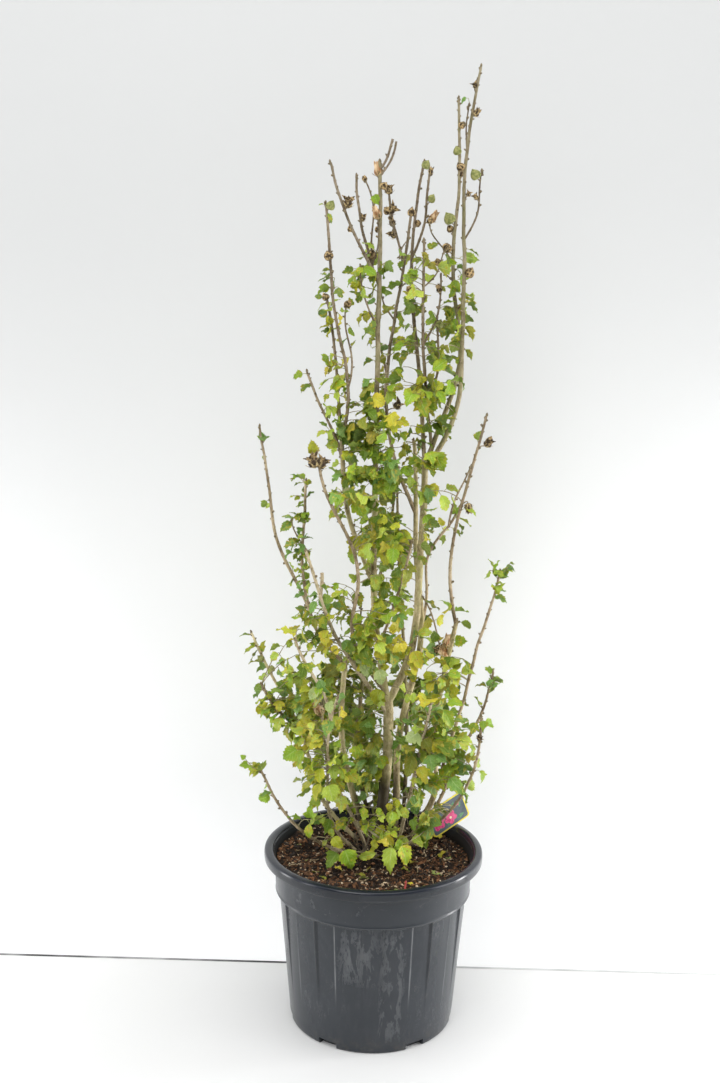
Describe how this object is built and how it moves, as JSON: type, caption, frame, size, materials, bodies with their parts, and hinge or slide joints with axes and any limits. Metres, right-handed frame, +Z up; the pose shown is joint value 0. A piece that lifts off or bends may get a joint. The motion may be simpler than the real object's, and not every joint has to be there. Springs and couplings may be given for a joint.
{
  "type": "hibiscus shrub in a nursery pot",
  "caption": "Tall upright hibiscus shrub with slender forking stems and loose leaf masses, standing in a round black nursery pot of compost.",
  "frame": {"origin": "centre of the pot's flat underside, on the surface that it stands on", "axes": "+Z up along the pot and the stems; the viewer's side is -Y and +X is to the viewer's right"},
  "size_m": [0.5336, 0.477, 1.8302],
  "materials": {
    "bark_old": "greyish tan bark with faint green, fine lengthwise cracks and lenticels",
    "bark_young": "smoother grey-brown young bark with buds at the nodes",
    "leaves": "matt to satin toothed leaves, mid green to yellow",
    "pot": "dark slate moulded plastic with a satin sheen and dried water marks",
    "compost": "moist bark and peat compost with paler chips",
    "tag": null
  },
  "bodies": {
    "root": {"bough_front": "bark_young", "bough_left": "bark_old", "bough_left_front": "bark_young", "bough_left_top": "bark_young", "bough_middle": "bark_young", "bough_outer_left": "bark_young", "bough_right": "bark_young", "compost": "compost", "leader_left": "bark_old", "leader_right": "bark_old", "leader_right_top": "bark_old", "leaves_base_front": "leaves", "leaves_base_rear": "leaves", "leaves_centre": "leaves", "leaves_column": "leaves", "leaves_column_rear": "leaves", "leaves_left_spire": "leaves", "leaves_left_spread": "leaves", "leaves_left_upper": "leaves", "leaves_low_left": "leaves", "leaves_low_left_front": "leaves", "leaves_low_left_rear": "leaves", "leaves_low_rear": "leaves", "leaves_low_right": "leaves", "leaves_low_right_outer": "leaves", "leaves_right_middle": "leaves", "leaves_right_upper": "leaves", "leaves_tip_left": "leaves", "leaves_tip_right": "leaves", "plant_tag": "tag", "pot": "pot", "shoot_centre": "bark_young", "shoot_left_front": "bark_young", "shoot_left_low": "bark_young", "shoot_left_rear": "bark_young", "shoot_left_side": "bark_young", "shoot_left_spire": "bark_young", "shoot_middle": "bark_young", "shoot_middle_front": "bark_young", "shoot_middle_left": "bark_young", "shoot_middle_side": "bark_young", "shoot_right_inner": "bark_young", "shoot_tall": "bark_old", "shoot_top_left": "bark_young", "shoot_top_left_rear": "bark_young", "stem_back": "bark_old", "stem_dark": "bark_young", "stem_front_left": "bark_young", "stem_front_right": "bark_young", "stem_front_tan": "bark_young", "stem_left": "bark_old", "stem_left_long": "bark_old", "stem_left_low": "bark_young", "stem_rear": "bark_young", "stem_right": "bark_old", "stem_right_long": "bark_young", "stem_right_low": "bark_young", "stem_right_rear": "bark_young", "trunk": "bark_old"}
  },
  "joints": []
}
